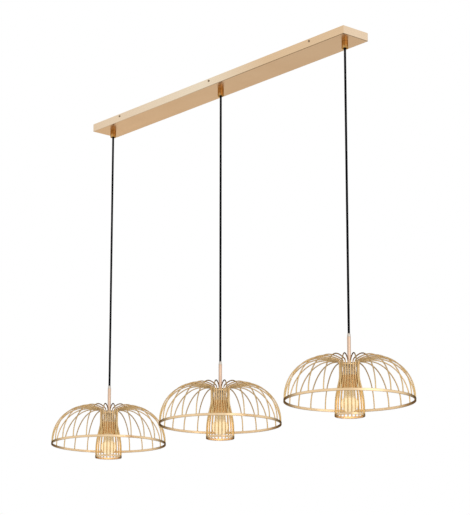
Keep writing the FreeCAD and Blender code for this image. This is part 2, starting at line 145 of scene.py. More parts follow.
def spread(tree, value, low, high, to_low=0.0, to_high=1.0):
    """A value moved from one range to another, and kept inside it."""
    node = tree.nodes.new("ShaderNodeMapRange")
    tree.links.new(value, node.inputs["Value"])
    for label, number in (
        ("From Min", low),
        ("From Max", high),
        ("To Min", to_low),
        ("To Max", to_high),
    ):
        if isinstance(number, bpy.types.NodeSocket):
            tree.links.new(number, node.inputs[label])
        else:
            node.inputs[label].default_value = number
    return node.outputs["Result"]


def noise(tree, place, scale, detail):
    """Noise value at a place."""
    node = tree.nodes.new("ShaderNodeTexNoise")
    tree.links.new(place, node.inputs["Vector"])
    node.inputs["Scale"].default_value = scale
    node.inputs["Detail"].default_value = detail
    return node.outputs["Fac"]


def stretched(tree, place, scale):
    """A place stretched by a scale on each axis."""
    node = tree.nodes.new("ShaderNodeMapping")
    tree.links.new(place, node.inputs["Vector"])
    if isinstance(scale, bpy.types.NodeSocket):
        tree.links.new(scale, node.inputs["Scale"])
    else:
        node.inputs["Scale"].default_value = scale
    return node.outputs["Vector"]


def make_grain():
    """Fine drawn or brushed lines, long where the stretch is small."""
    group, start, end = effect(
        "drawn_grain",
        [("Place", "NodeSocketVector", None), ("Stretch", "NodeSocketVector", (8, 900, 900))],
        [("Lines", "NodeSocketFloat"), ("Bands", "NodeSocketFloat")],
    )
    place = stretched(group, start.outputs["Place"], start.outputs["Stretch"])
    lines = noise(group, place, 1.0, 4.0)
    bands = noise(group, place, 0.12, 2.0)
    group.links.new(spread(group, lines, 0.3, 0.7), end.inputs["Lines"])
    group.links.new(spread(group, bands, 0.3, 0.7), end.inputs["Bands"])
    return group


def make_clouding():
    """Soft, large patches where a finish reflects a little more or less."""
    group, start, end = effect(
        "soft_clouding",
        [("Place", "NodeSocketVector", None), ("Size", "NodeSocketFloat", 0.05)],
        [("Cloud", "NodeSocketFloat"), ("Speck", "NodeSocketFloat")],
    )
    per_metre = maths(group, "DIVIDE", 1.0, start.outputs["Size"])
    large = group.nodes.new("ShaderNodeTexNoise")
    group.links.new(start.outputs["Place"], large.inputs["Vector"])
    group.links.new(per_metre, large.inputs["Scale"])
    large.inputs["Detail"].default_value = 2.0
    large.inputs["Distortion"].default_value = 0.6
    speck = noise(group, start.outputs["Place"], 2600.0, 2.0)
    group.links.new(spread(group, large.outputs["Fac"], 0.3, 0.7), end.inputs["Cloud"])
    group.links.new(spread(group, speck, 0.3, 0.7), end.inputs["Speck"])
    return group


def make_dust():
    """Dust that settles on what faces up."""
    group, start, end = effect(
        "settled_dust",
        [("Place", "NodeSocketVector", None), ("Amount", "NodeSocketFloat", 0.3)],
        [("Dust", "NodeSocketFloat")],
    )
    geometry = group.nodes.new("ShaderNodeNewGeometry")
    facing = spread(group, axes(group, geometry.outputs["Normal"])["Z"], 0.4, 1.0)
    patchy = spread(group, noise(group, start.outputs["Place"], 60.0, 4.0), 0.35, 0.75)
    amount = product(group, facing, patchy, start.outputs["Amount"])
    group.links.new(amount, end.inputs["Dust"])
    return group


def make_braid():
    """Two sets of crossing strands round a cord.

    U runs once round the cord, and V runs the same length along it.
    """
    group, start, end = effect(
        "cord_braid",
        [("Around", "NodeSocketVector", None), ("Strands", "NodeSocketFloat", 8.0)],
        [("Height", "NodeSocketFloat"), ("Fray", "NodeSocketFloat")],
    )
    lay = axes(group, start.outputs["Around"])
    crests = []
    counts = []
    for operation in ("ADD", "SUBTRACT"):
        turn = maths(group, operation, lay["X"], lay["Y"])
        place = product(group, turn, start.outputs["Strands"])
        half_wave = product(group, maths(group, "FRACT", place), math.pi)
        crests.append(maths(group, "POWER", maths(group, "SINE", half_wave), 0.6))
        counts.append(maths(group, "FLOOR", place))
    over = maths(group, "FLOORED_MODULO", maths(group, "ADD", counts[0], counts[1]), 2.0)
    under = maths(group, "SUBTRACT", 1.0, over)
    height = maths(group, "ADD", product(group, crests[0], over), product(group, crests[1], under))
    fray = noise(group, stretched(group, start.outputs["Around"], (90, 25, 1)), 1.0, 3.0)
    group.links.new(height, end.inputs["Height"])
    group.links.new(spread(group, fray, 0.3, 0.7), end.inputs["Fray"])
    return group


GRAIN = make_grain()
CLOUDING = make_clouding()
DUST = make_dust()
BRAID = make_braid()


class Finish:
    """A material under construction, with its Principled shader and its place on the object."""

    def __init__(self, name, **sockets):
        self.material = bpy.data.materials.new(name)
        self.material.use_nodes = True
        self.tree = self.material.node_tree
        self.shader = self.tree.nodes["Principled BSDF"]
        self.place = self.tree.nodes.new("ShaderNodeTexCoord").outputs["Object"]
        for label, value in sockets.items():
            self.shader.inputs[label.replace("_", " ")].default_value = value

    def add(self, group, **values):
        """Places an effect on the object's own coordinates. Returns the effect's outputs."""
        node = self.tree.nodes.new("ShaderNodeGroup")
        node.node_tree = group
        if "Place" in node.inputs:
            self.tree.links.new(self.place, node.inputs["Place"])
        for label, value in values.items():
            node.inputs[label].default_value = value
        return node.outputs

    def feed(self, socket, value):
        """Links a value to one of the shader's sockets."""
        self.tree.links.new(value, self.shader.inputs[socket])

    def colour(self, factor, first, second):
        """Colour between two others, which are colours or sockets. Returns the output."""
        node = self.tree.nodes.new("ShaderNodeMix")
        node.data_type = "RGBA"
        sockets = [s for s in node.inputs if s.type == "RGBA"]
        if isinstance(factor, bpy.types.NodeSocket):
            self.tree.links.new(factor, node.inputs[0])
        else:
            node.inputs[0].default_value = factor
        for socket, value in zip(sockets, (first, second)):
            if isinstance(value, bpy.types.NodeSocket):
                self.tree.links.new(value, socket)
            else:
                socket.default_value = (*value, 1.0)
        return [s for s in node.outputs if s.type == "RGBA"][0]

    def bump(self, height, distance, strength):
        """Raises the surface by a height."""
        node = self.tree.nodes.new("ShaderNodeBump")
        node.inputs["Strength"].default_value = strength
        node.inputs["Distance"].default_value = distance
        self.tree.links.new(height, node.inputs["Height"])
        self.feed("Normal", node.outputs["Normal"])


def champagne_sheet():
    """The canopy's finish: champagne gold, brushed along its length, with a painted reflection on
    its long sides and painted shade along its folds.
    """
    made = Finish("champagne_sheet", Metallic=1.0, Specular_Tint=(0.72, 0.50, 0.32, 1.0))
    tree = made.tree
    grain = made.add(GRAIN, Stretch=(9, 1100, 1100))
    cloud = made.add(CLOUDING, Size=0.12)
    dust = made.add(DUST, Amount=0.15)["Dust"]
    place = axes(tree, made.place)
    across = maths(tree, "ABSOLUTE", place["Y"])
    along = maths(tree, "ABSOLUTE", place["X"])
    face_depths = (0.0009, 0.0007)  # under a face, where its own tone begins and where it is full
    corner_depths = (0.0015, 0.0011)
    side = spread(tree, across, *(CANOPY_HALF_WIDTH - depth for depth in face_depths))
    end = spread(tree, along, *(CANOPY_HALF_LENGTH - depth for depth in face_depths))

    # Painted reflection on the long sides: cream towards their middle and gold on their right
    tone = made.colour(cloud["Cloud"], (0.790, 0.607, 0.427), (0.826, 0.646, 0.463))
    painted_highlight = product(tree, side, spread(tree, place["X"], -0.60, -0.05, 0.1, 1.0))
    painted_gold_reflection = product(tree, side, spread(tree, place["X"], -0.03, 0.25))
    tone = made.colour(painted_highlight, tone, (0.850, 0.730, 0.560))
    tone = made.colour(painted_gold_reflection, tone, (0.745, 0.535, 0.335))
    tone = made.colour(product(tree, grain["Lines"], 0.06), tone, (0.86, 0.72, 0.55))

    # Painted shade: a dark line along the folds, fainter on the left, and darker corners
    low = spread(tree, place["Z"], CANOPY_LOW + 0.0015, CANOPY_LOW + 0.0012)
    wear_and_painted_shade = spread(tree, place["X"], -0.15, 0.15, 0.15, 0.8)
    fold_shade = product(tree, maths(tree, "MAXIMUM", side, end), low, wear_and_painted_shade)
    tone = made.colour(fold_shade, tone, (0.14, 0.08, 0.035))
    # Painted shade where the folds meet at the corners
    corner_shade = product(
        tree,
        spread(tree, across, *(CANOPY_HALF_WIDTH - depth for depth in corner_depths)),
        spread(tree, along, *(CANOPY_HALF_LENGTH - depth for depth in corner_depths)),
        spread(tree, place["Z"], CANOPY_LOW + 0.0016, CANOPY_LOW + 0.0012),
    )
    tone = made.colour(corner_shade, tone, (0.06, 0.04, 0.02))

    made.feed("Base Color", made.colour(dust, tone, (0.55, 0.52, 0.48)))
    rough = spread(tree, grain["Bands"], 0.0, 1.0, 0.22, 0.27)
    made.feed("Roughness", maths(tree, "ADD", rough, product(tree, dust, 0.4)))
    made.bump(grain["Lines"], 0.00002, 0.08)
    return made.material


def satin_metal(name, light, dark, rough, edge=(1.0, 1.0, 1.0), low=None):
    """Satin metal in two clouded tones, with a tone for its edges and painted shade on a
    lampshade's lower part.
    """
    made = Finish(name, Metallic=1.0, Specular_Tint=(*edge, 1.0))
    cloud = made.add(CLOUDING, Size=0.03)
    dust = made.add(DUST, Amount=0.12)["Dust"]
    tone = made.colour(cloud["Cloud"], dark, light)
    if low:
        # Painted shade: darker towards the bottom of a lampshade
        height = axes(made.tree, made.place)["Z"]
        painted_shade_low = spread(made.tree, height, RIM_Z + 0.075, RIM_Z + 0.015, 0.0, 0.9)
        tone = made.colour(painted_shade_low, tone, low)
    made.feed("Base Color", made.colour(dust, tone, (0.52, 0.48, 0.42)))
    made.feed("Roughness", spread(made.tree, cloud["Speck"], 0.0, 1.0, rough - 0.04, rough + 0.08))
    made.bump(cloud["Speck"], 0.00002, 0.4)
    return made.material


def turned_brass():
    """Polished amber brass with the fine rings of a lathe."""
    made = Finish("turned_brass", Metallic=1.0, Specular_Tint=(0.55, 0.40, 0.20, 1.0))
    rings = made.add(GRAIN, Stretch=(60, 60, 9000))
    cloud = made.add(CLOUDING, Size=0.012)
    tone = made.colour(cloud["Cloud"], (0.42, 0.225, 0.070), (0.54, 0.31, 0.105))
    made.feed("Base Color", tone)
    made.feed("Roughness", spread(made.tree, rings["Lines"], 0.0, 1.0, 0.10, 0.20))
    made.bump(rings["Lines"], 0.00001, 0.3)
    return made.material


def zinc_plate():
    """Zinc plated steel, with pale spangles."""
    made = Finish("zinc_plate", Metallic=1.0)
    cloud = made.add(CLOUDING, Size=0.006)
    grain = made.add(GRAIN, Stretch=(30, 700, 700))
    dust = made.add(DUST, Amount=0.35)["Dust"]
    tone = made.colour(cloud["Cloud"], (0.50, 0.51, 0.52), (0.66, 0.67, 0.68))
    made.feed("Base Color", made.colour(dust, tone, (0.45, 0.43, 0.40)))
    made.feed("Roughness", spread(made.tree, grain["Bands"], 0.0, 1.0, 0.32, 0.5))
    made.bump(cloud["Speck"], 0.00002, 0.3)
    return made.material


def moulded(name, light, dark, rough):
    """Moulded plastic, rubber or ceramic with a fine skin."""
    made = Finish(name)
    cloud = made.add(CLOUDING, Size=0.015)
    dust = made.add(DUST, Amount=0.25)["Dust"]
    tone = made.colour(cloud["Cloud"], dark, light)
    made.feed("Base Color", made.colour(dust, tone, (0.6, 0.57, 0.52)))
    made.feed("Roughness", spread(made.tree, cloud["Speck"], 0.0, 1.0, rough - 0.05, rough + 0.07))
    made.bump(cloud["Speck"], 0.00004, 0.35)
    return made.material


def textile():
    """Black braided sleeve of the cords."""
    made = Finish("black_braid", Specular_IOR_Level=0.0, Sheen_Weight=0.01)
    lay = made.tree.nodes.new("ShaderNodeUVMap")
    braid = made.tree.nodes.new("ShaderNodeGroup")
    braid.node_tree = BRAID
    made.tree.links.new(lay.outputs["UV"], braid.inputs["Around"])
    tone = made.colour(braid.outputs["Height"], (0.003, 0.003, 0.003), (0.009, 0.009, 0.010))
    wear_and_painted_shade = product(made.tree, braid.outputs["Fray"], 0.35)
    made.feed("Base Color", made.colour(wear_and_painted_shade, tone, (0.011, 0.011, 0.012)))
    made.feed("Roughness", spread(made.tree, braid.outputs["Fray"], 0.0, 1.0, 0.62, 0.85))
    made.bump(braid.outputs["Height"], 0.0003, 0.3)
    return made.material


def opal_glass():
    """Opal glass, whose ball glows warm and whose neck is dimmer.

    It casts more light than the camera sees in it.
    """
    made = Finish("opal_glass", Roughness=0.25, Coat_Weight=0.4, Coat_Roughness=0.08)
    cloud = made.add(CLOUDING, Size=0.02)
    made.feed("Base Color", made.colour(cloud["Cloud"], (0.46, 0.37, 0.25), (0.52, 0.42, 0.29)))
    made.feed("Emission Color", made.colour(cloud["Cloud"], (1.0, 0.78, 0.46), (1.0, 0.83, 0.52)))
    height = axes(made.tree, made.place)["Z"]
    glow = spread(made.tree, height, RIM_Z + 0.012, RIM_Z + 0.001, 0.32, 0.78)
    path = made.tree.nodes.new("ShaderNodeLightPath")
    cast = spread(made.tree, path.outputs["Is Camera Ray"], 0.0, 1.0, 4.0, 1.0)
    made.feed("Emission Strength", product(made.tree, glow, cast))
    return made.material


FINISHES = {
    "canopy_finish": champagne_sheet(),
    "shade_gold": satin_metal(
        "wire_gold",
        (0.855, 0.60, 0.32),
        (0.745, 0.515, 0.25),
        0.24,
        edge=(0.08, 0.05, 0.035),
        # painted shade low down on the wires
        low=(0.70, 0.495, 0.225),
    ),
    "band_gold": satin_metal(
        "band_gold", (0.87, 0.65, 0.395), (0.80, 0.575, 0.335), 0.26, edge=(0.12, 0.08, 0.06)
    ),
    "plate_gold": satin_metal("plate_gold", (0.95, 0.78, 0.50), (0.88, 0.70, 0.43), 0.34),
    "stem_gold": satin_metal(
        "stem_gold", (0.75, 0.54, 0.40), (0.69, 0.48, 0.35), 0.30, edge=(0.50, 0.40, 0.32)
    ),
    "tip_finish": satin_metal(
        "pale_tip", (0.68, 0.62, 0.55), (0.60, 0.54, 0.47), 0.34, edge=(0.6, 0.55, 0.5)
    ),
    "grip_brass": turned_brass(),
    "bracket_zinc": zinc_plate(),
    "dark_screw": satin_metal("bronzed_screw", (0.44, 0.34, 0.24), (0.32, 0.24, 0.16), 0.35),
    "black_nylon": moulded("black_nylon", (0.022, 0.022, 0.024), (0.012, 0.012, 0.013), 0.45),
    "terminal_plastic": moulded("terminal_polyamide", (0.80, 0.79, 0.75), (0.72, 0.71, 0.66), 0.5),
    "terminal_brass": satin_metal("plain_brass", (0.72, 0.56, 0.27), (0.60, 0.45, 0.20), 0.3),
    "grommet_rubber": moulded("black_rubber", (0.03, 0.03, 0.03), (0.018, 0.018, 0.018), 0.7),
    "lead_insulation": moulded("lead_sleeve", (0.30, 0.14, 0.07), (0.24, 0.11, 0.05), 0.35),
    "cord_textile": textile(),
    "holder_white": moulded("holder_cap_cream", (0.96, 0.85, 0.66), (0.91, 0.79, 0.59), 0.35),
    "holder_bronze": satin_metal(
        "satin_bronze", (0.88, 0.56, 0.245), (0.78, 0.48, 0.20), 0.36, edge=(0.60, 0.41, 0.22)
    ),
    "holder_ceramic": moulded("glazed_ceramic", (0.84, 0.81, 0.76), (0.76, 0.73, 0.68), 0.18),
    "lamp_metal": satin_metal("rolled_aluminium", (0.74, 0.74, 0.74), (0.62, 0.62, 0.62), 0.3),
    "lamp_opal": opal_glass(),
}


def coat(piece, name):
    """Gives a piece its finish."""
    piece.data.materials.clear()
    piece.data.materials.append(FINISHES[name])


# Modelling


def pick(piece):
    """Selects one piece alone and makes it the active one."""
    bpy.ops.object.select_all(action="DESELECT")
    piece.select_set(True)
    bpy.context.view_layer.objects.active = piece


def face_outward(piece):
    """Makes all the faces of a piece look outward."""
    pick(piece)
    bpy.ops.object.mode_set(mode="EDIT")
    bpy.ops.mesh.select_all(action="SELECT")
    bpy.ops.mesh.normals_make_consistent(inside=False)
    bpy.ops.object.mode_set(mode="OBJECT")


def turned(name, rings, sides):
    """Piece drawn out ring by ring from a circle, through (radius, height). Radius 0 is a pole."""
    bpy.ops.object.select_all(action="DESELECT")
    radius, height = rings[0]
    bpy.ops.mesh.primitive_circle_add(vertices=sides, radius=radius, location=(0, 0, height))
    piece = bpy.context.object
    piece.name = name
    bpy.ops.object.transform_apply(location=True, rotation=False, scale=False)
    bpy.ops.object.mode_set(mode="EDIT")
    bpy.ops.mesh.select_all(action="SELECT")
    for next_radius, next_height in rings[1:]:
        rise = (0, 0, next_height - height)
        bpy.ops.mesh.extrude_region_move(TRANSFORM_OT_translate={"value": rise})
        if next_radius == 0:
            bpy.ops.mesh.merge(type="CENTER")
        else:
            share = next_radius / radius
            centre = (0, 0, next_height)
            bpy.ops.transform.resize(value=(share, share, 1), center_override=centre)
        radius, height = next_radius, next_height
    bpy.ops.mesh.select_all(action="SELECT")
    bpy.ops.mesh.remove_doubles(threshold=0.000001)
    bpy.ops.mesh.select_all(action="DESELECT")
    bpy.ops.mesh.select_non_manifold(extend=False)
    if piece.data.total_vert_sel:
        bpy.ops.mesh.fill_holes(sides=0)
    bpy.ops.object.mode_set(mode="OBJECT")
    face_outward(piece)
    smooth(piece)
    return piece


def smooth(piece, angle=32.0):
    """Smooth shading, with edges over an angle in degrees kept sharp."""
    pick(piece)
    bpy.ops.object.shade_smooth_by_angle(angle=math.radians(angle))


def settle(piece):
    """Applies a piece's place and turn to its mesh."""
    pick(piece)
    bpy.ops.object.transform_apply(location=True, rotation=True, scale=True)


def join(pieces, name):
    """Several pieces as one."""
    bpy.ops.object.select_all(action="DESELECT")
    for piece in pieces:
        piece.select_set(True)
    bpy.context.view_layer.objects.active = pieces[0]
    bpy.ops.object.join()
    pieces[0].name = name
    pieces[0].data.name = name
    return pieces[0]


def copied(piece, name, place=(0, 0, 0), turn=0.0):
    """Copy of a piece with a mesh of its own, turned about Z by degrees and moved."""
    copy = piece.copy()
    copy.data = piece.data.copy()
    copy.name = name
    bpy.context.scene.collection.objects.link(copy)
    copy.location = place
    copy.rotation_euler = (0, 0, math.radians(turn))
    settle(copy)
    return copy


def carve(piece, cutter):
    """Cuts one piece out of another, and removes the cutter."""
    bpy.context.view_layer.objects.active = piece
    hollow = piece.modifiers.new("hollow", "BOOLEAN")
    hollow.object = cutter
    hollow.operation = "DIFFERENCE"
    hollow.solver = "EXACT"
    bpy.ops.object.modifier_apply(modifier="hollow")
    bpy.data.objects.remove(cutter)


def place_piece(piece, body, nodes, slot, finish=None):
    """Hands a finished piece to its body, for the solids that it stands for."""
    coat(piece, finish or slot)
    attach(piece, body)
    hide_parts(*nodes)


def on_each_shade(master, nodes, slot, finish=None, body="shade"):
    """Copies a piece that is drawn about a rim's middle to the three pendants."""
    for side in SIDES:
        place = (PENDANT_X[side], 0, RIM_Z)
        piece = copied(master, f"{master.name}_{side}", place, SHADE_TURN[side])
        place_piece(piece, f"{body}_{side}", [f"{node}_{side}" for node in nodes], slot, finish)
    bpy.data.objects.remove(master)


# Cords


def smooth_route(points):
    """Points along the smooth line that has a route's points as its control points."""
    line = bpy.data.curves.new("route", "CURVE")
    line.dimensions = "3D"
    spline = line.splines.new("NURBS")
    spline.points.add(len(points) - 1)
    for point, place in zip(spline.points, points):
        point.co = (*place, 1.0)
    spline.order_u = 3
    spline.use_endpoint_u = True
    spline.resolution_u = 12
    holder = bpy.data.objects.new("route", line)
    bpy.context.scene.collection.objects.link(holder)
    bpy.context.view_layer.update()
    seen = holder.evaluated_get(bpy.context.evaluated_depsgraph_get())
    mesh = bpy.data.meshes.new_from_object(seen)
    places = [vertex.co.copy() for vertex in mesh.vertices]
    bpy.data.meshes.remove(mesh)
    bpy.data.objects.remove(holder)
    bpy.data.curves.remove(line)
    return places


def sleeve(name, line, radius, sides=20, round_start=False):
    """Round sleeve along a line, with a UV map that runs round it and along it."""
    rings = []
    across = Vector((0, 1, 0))
    for here, before, after in zip(line, [line[0], *line], [*line[1:], line[-1]]):
        way = (after - before).normalized()
        across = (across - way * across.dot(way)).normalized()
        rings.append((here, across.copy(), way.cross(across), radius))
    if round_start:
        here, across, beside, _ = rings[0]
        way = (line[1] - line[0]).normalized()
        dome = []
        for step in (0.25, 0.5, 0.75):
            rise = math.radians(90 * (1 - step))
            centre = here - way * (radius * math.sin(rise))
            dome.append((centre, across, beside, radius * math.cos(rise)))
        rings = dome + rings
    vertices = []
    for here, across, beside, wide in rings:
        for k in range(sides):
            angle = 2 * math.pi * k / sides
            vertices.append(here + (across * math.cos(angle) + beside * math.sin(angle)) * wide)
    faces = []
    for row in range(len(rings) - 1):
        for k in range(sides):
            low = row * sides
            faces.append(
                (low + k, low + (k + 1) % sides, low + sides + (k + 1) % sides, low + sides + k)
            )
    faces.append(tuple(reversed(range(sides))))
    faces.append(tuple(range(len(vertices) - sides, len(vertices))))
    mesh = bpy.data.meshes.new(name)
    mesh.from_pydata(vertices, [], faces)
    run = [0.0]
    for first, second in zip(rings, rings[1:]):
        run.append(run[-1] + (second[0] - first[0]).length / (2 * math.pi * radius))
    lay = mesh.uv_layers.new(name="sleeve")
    for face in mesh.polygons[:-2]:
        row = min(face.vertices) // sides
        first = face.index % sides
        corners = ((first, row), (first + 1, row), (first + 1, row + 1), (first, row + 1))
        for loop, (k, at) in zip(face.loop_indices, corners):
            lay.data[loop].uv = (k / sides, run[at])
    mesh.update()
    piece = bpy.data.objects.new(name, mesh)
    bpy.context.scene.collection.objects.link(piece)
    face_outward(piece)
    smooth(piece, 50)
    return piece


def plumb_line(x, high, low):
    """Line of a cord that hangs straight down."""
    return smooth_route([(x, 0, high), (x, 0, (high + low) / 2), (x, 0, low)])


def hanging_cords():
    """Each cord: a short stretch that bends at the grip, and the long stretch to the stem."""
    for side in SIDES:
        x = PENDANT_X[side]
        stem_top = RIM_Z + STEM_TOP
        short = plumb_line(x, UPPER_PIVOT, LOWER_PIVOT)
        upper = sleeve(f"textile_cord_upper_{side}", short, BRAID_RADIUS)
        place_piece(upper, f"bend_{side}", [f"cord_upper_{side}"], "cord_textile")
        long = plumb_line(x, LOWER_PIVOT, stem_top)
        lower = sleeve(f"textile_cord_{side}", long, BRAID_RADIUS, round_start=True)
        place_piece(lower, f"line_{side}", [f"cord_{side}"], "cord_textile")
        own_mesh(lower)


def wiring():
    """The cords' stretches inside the canopy, and their leads to the terminal strip."""
    depth = -0.0093  # all the cords lie at one height
    strip_face = 0.006
    lead_radius, lead_offset = 0.0011, 0.0013
    plans = {  # where each cord comes out of its grip, and its way from there in (x, y)
        "left": (-0.527, (-0.510, 0), (-0.120, -0.014), (0.074, -0.014)),
        "middle": (0, (0.018, -0.002), (0.036, -0.004), (0.058, -0.004)),
        "right": (0.527, (0.510, 0), (0.250, -0.014), (0.130, -0.014)),
    }
    stretches = []
    for side, (grip_x, *plan) in plans.items():
        points = [(grip_x, 0, GRIP_TOP), (grip_x, 0, depth), *((x, y, depth) for x, y in plan)]
        stretches.append(sleeve(f"stretch_{side}", smooth_route(points), CORD_RADIUS))
    place_piece(join(stretches, "textile_cords_inside"), "canopy", ["inner_cords"], "cord_textile")
    poles = {"middle": (0.074, 0.082), "left": (0.090, 0.098), "right": (0.114, 0.106)}
    leads = []
    for side, pair in poles.items():
        x, y = plans[side][-1]
        for pole, way in zip(pair, (1, -1)):
            z = depth + way * lead_offset
            line = smooth_route([(x, y, z), (pole, y, z), (pole, strip_face, z)])
            leads.append(sleeve("lead", line, lead_radius, sides=12))
    place_piece(join(leads, "lead_sleeves"), "canopy", ["inner_leads"], "lead_insulation")


# Ceiling part


def cross_screw(name, radius, height, shank_radius, shank_length):
    """Pan head screw with a cross recess, standing on its shank along Z."""
    rings = [
        (shank_radius, -shank_length),
        (shank_radius, 0.0),
        (radius, 0.0),
        (radius, height * 0.45),
        (radius * 0.93, height * 0.75),
        (radius * 0.72, height * 0.94),
        (radius * 0.4, height),
        (0, height),
    ]
    screw = turned(name, rings, 32)
    for turn in (0, 90):
        bpy.ops.mesh.primitive_cube_add(size=1, location=(0, 0, height))
        blade = bpy.context.object
        blade.scale = (radius * 1.05, radius * 0.24, height * 1.1)
        blade.rotation_euler = (0, 0, math.radians(turn))
        settle(blade)
        carve(screw, blade)
    smooth(screw)
    return screw


def canopy_screws():
    """Six screws through the canopy's long sides."""
    spacing, depth = 0.433, 0.007
    master = cross_screw("side_screw", 0.0032, 0.0018, 0.002, 0.0062)
    screws = []
    for x in (-spacing, 0.0, spacing):
        for way in (-1, 1):
            screw = copied(master, "screw")
            screw.rotation_euler = (math.radians(-90 * way), math.radians(35 + 50 * x), 0)
            screw.location = (x, way * CANOPY_HALF_WIDTH, -depth)
            settle(screw)
            screws.append(screw)
    bpy.data.objects.remove(master)
    piece = join(screws, "bronzed_side_screws")
    smooth(piece)
    place_piece(piece, "canopy", ["side_screws"], "dark_screw")


def grips():
    """Cord grips with their threaded shanks, collets and set screws."""
    seat, bore, cord_fit = 0.0055, 0.0033, 0.00325
    shank, thread_root, thread_pitch = 0.0050, 0.0046, 0.001
    collet_top = GRIP_MOUTH + 0.014
    screw_z = GRIP_MOUTH + 0.008
    body_rings = [
        (seat, GRIP_MOUTH),
        (0.0080, GRIP_MOUTH),
        (0.0086, GRIP_MOUTH + 0.00015),
        (0.00895, GRIP_MOUTH + 0.0006),
        (0.0090, GRIP_MOUTH + 0.0012),
        (0.0090, CANOPY_LOW - 0.0004),
        (0.0087, CANOPY_LOW),
        (shank, CANOPY_LOW),
    ]
    z = CANOPY_LOW
    while z < GRIP_TOP - 0.0011:
        body_rings += [
            (shank, z + 0.0002),
            (thread_root, z + 0.0005),
            (thread_root, z + 0.0006),
            (shank, z + 0.0009),
        ]
        z += thread_pitch
    body_rings += [
        (0.0048, GRIP_TOP),
        (bore, GRIP_TOP),
        (bore, collet_top),
        (seat, collet_top),
        (seat, GRIP_MOUTH),
    ]
    grip = turned("turned_grip", body_rings, 72)
    bpy.ops.mesh.primitive_cylinder_add(
        vertices=24, radius=0.00155, depth=0.012, location=(0, 0.008, screw_z)
    )
    hole = bpy.context.object
    hole.rotation_euler = (math.radians(90), 0, 0)
    settle(hole)
    carve(grip, hole)
    smooth(grip)
    collet_rings = [
        (seat, GRIP_MOUTH + 0.0002),
        (0.0053, GRIP_MOUTH),
        (0.0044, GRIP_MOUTH),
        (0.0041, GRIP_MOUTH + 0.0002),
        (cord_fit, GRIP_MOUTH + 0.0025),
        (cord_fit, collet_top),
        (seat, collet_top),
        (seat, GRIP_MOUTH + 0.0002),
    ]
    collet = turned("collet", collet_rings, 48)
    grub_end = 0.0031
    grub_rings = [(0.0015, 0.0), (0.0015, 0.0028), (0.0013, grub_end), (0, grub_end)]
    grub = turned("grub", grub_rings, 24)
    bpy.ops.mesh.primitive_cylinder_add(
        vertices=6, radius=0.0009, depth=0.003, location=(0, 0, grub_end)
    )
    carve(grub, bpy.context.object)
    grub.rotation_euler = (math.radians(-90), 0, 0)
    grub.location = (0, seat, screw_z)
    settle(grub)
    collets = []
    grubs = []
    for side in SIDES:
        place = (PENDANT_X[side], 0, 0)
        piece = copied(grip, f"turned_grip_{side}", place)
        place_piece(piece, "canopy", [f"cord_grip_{side}"], "grip_brass")
        collets.append(copied(collet, "collet", place))
        grubs.append(copied(grub, "grub", place))
    for master in (grip, collet, grub):
        bpy.data.objects.remove(master)
    place_piece(join(collets, "nylon_collets"), "canopy", ["grip_collets"], "black_nylon")
    place_piece(join(grubs, "grub_screws"), "canopy", ["grip_screws"], "bracket_zinc")


# Shades


def rib_line():
    """Bezier line of one rib, from the rim over the crown and down the neck into the bell.

    A knot has its (radius, height), and its handles towards the knots before and after it.
    """
    bpy.ops.object.select_all(action="DESELECT")
    bpy.ops.curve.primitive_bezier_curve_add(location=(0, 0, 0))
    line = bpy.context.object
    rim = (0.1735, 0.0035)
    crown = (0.0735, 0.1122)
    lip = (0.03267, 0.10682)
    neck_top = (0.0260, 0.09813)
    neck_low = (0.0259, 0.067)
    shoulder = (0.0387, -0.022)
    foot = (0.0389, -0.037)
    round_share = 0.5523  # handle length for a quarter of an ellipse
    climb = round_share * (crown[1] - rim[1])
    outward = round_share * (rim[0] - crown[0])
    inward = 0.01379
    into_lip, out_of_lip = (0.01332, 0.00357), (-0.00394, -0.00105)
    into_neck, straight = 0.0041, 0.004
    flare_start, flare_end = 0.020, 0.045
    knots = [
        (rim, (0, -straight), (0, climb)),
        (crown, (outward, 0), (-inward, 0)),
        (lip, into_lip, out_of_lip),
        (neck_top, (0, into_neck), (0, -straight)),
        (neck_low, (0, straight), (0, -flare_start)),
        (shoulder, (0, flare_end), (0, -straight)),
        (foot, (0, straight), (0, -straight)),
    ]
    spline = line.data.splines[0]
    spline.bezier_points.add(len(knots) - 2)
    for point, (at, before, after) in zip(spline.bezier_points, knots):
        point.handle_left_type = "FREE"
        point.handle_right_type = "FREE"
        point.co = (at[0], 0, at[1])
        point.handle_left = (at[0] + before[0], 0, at[1] + before[1])
        point.handle_right = (at[0] + after[0], 0, at[1] + after[1])
    return line


def ribs():
    """All the ribs of a shade, with a small weld at each foot."""
    rib = rib_line()
    rib.data.dimensions = "3D"
    rib.data.resolution_u = 14
    rib.data.bevel_depth = RIB_RADIUS
    rib.data.bevel_resolution = 2
    rib.data.use_fill_caps = True
    bpy.ops.object.convert(target="MESH")
    rib = bpy.context.object
    weld_size = (0.0019, 0.0027, 0.0011)
    welds = []
    for place in ((0.1735, 0, 0.0037), (0.0389, 0, -0.0372)):
        bpy.ops.mesh.primitive_ico_sphere_add(subdivisions=2, radius=1, location=place)
        weld = bpy.context.object
        weld.scale = weld_size
        settle(weld)
        welds.append(weld)
    cage = join([rib, *welds], "cage_ribs")
    bpy.ops.object.mode_set(mode="EDIT")
    bpy.ops.mesh.select_all(action="SELECT")
    pitch = 2 * math.pi / RIB_COUNT
    bpy.ops.mesh.spin(
        steps=RIB_COUNT - 1,
        dupli=True,
        angle=pitch * (RIB_COUNT - 1),
        center=(0, 0, 0),
        axis=(0, 0, 1),
    )
    bpy.ops.object.mode_set(mode="OBJECT")
    face_outward(cage)
    smooth(cage, 50)
    on_each_shade(cage, ["ribs"], "shade_gold")


def band(name, outer, inner, low, high, edge, sides):
    """Flat band with softened edges."""
    rings = [
        (outer, low + edge),
        (outer, high - edge),
        (outer - edge, high),
        (inner + edge, high),
        (inner, high - edge),
        (inner, low + edge),
        (inner + edge, low),
        (outer - edge, low),
        (outer, low + edge),
    ]
    return turned(name, rings, sides)


